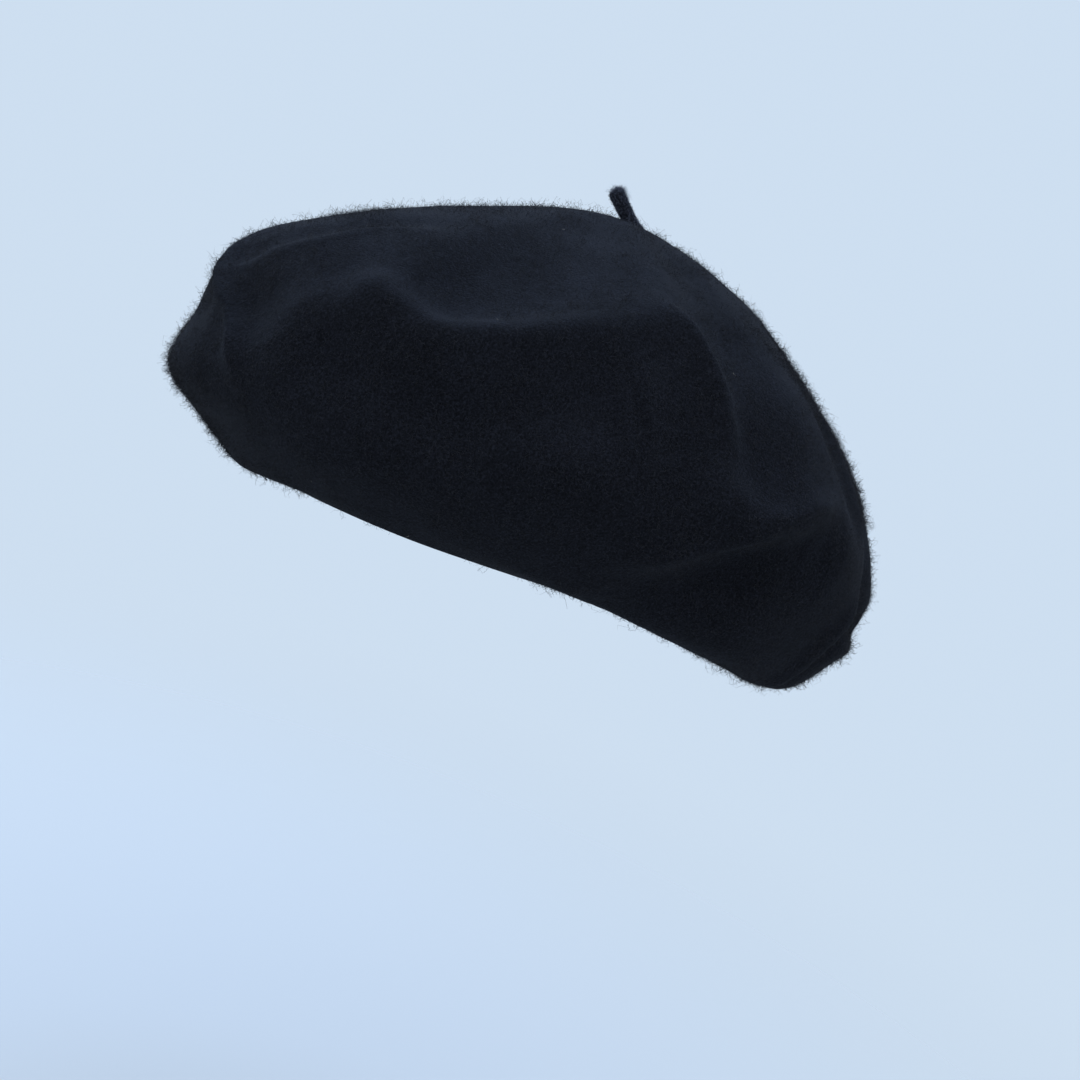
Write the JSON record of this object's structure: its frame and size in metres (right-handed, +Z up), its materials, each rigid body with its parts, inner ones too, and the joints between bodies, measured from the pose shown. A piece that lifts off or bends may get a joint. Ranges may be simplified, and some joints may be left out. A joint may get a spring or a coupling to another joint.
{
  "type": "beret",
  "caption": "Black wool-felt beret, slouched to the back as worn, with a flexing felt stalk and a ribbon sweatband inside the opening.",
  "frame": {"origin": "centre of the head opening, in the plane of the felt's edge", "axes": "+Z up through the crown, -Y the front of the hat, +X the wearer's left"},
  "size_m": [0.2563, 0.2679, 0.1441],
  "materials": {
    "felt": "matte felted wool with a short fibre nap",
    "ribbon": "ribbed grosgrain ribbon, low sheen",
    "thread": "twisted sewing thread",
    "label": "satin weave, blank"
  },
  "bodies": {
    "hat": {"felt_body": "felt", "stalk_anchor": "thread", "sweatband": "ribbon", "sweatband_stitching": "thread", "sweatband_join": "ribbon", "size_label": "label"},
    "stem": {"stalk": "felt"}
  },
  "joints": [
    {"name": "stalk_flex", "type": "hinge", "parent": "hat", "child": "stem", "pos_m": [0.00058, -0.00011, 0.12352], "axis": [0.788, -0.6157, 0], "range_deg": [-85, 28], "stiffness_Nm_per_rad": 0.002}
  ]
}
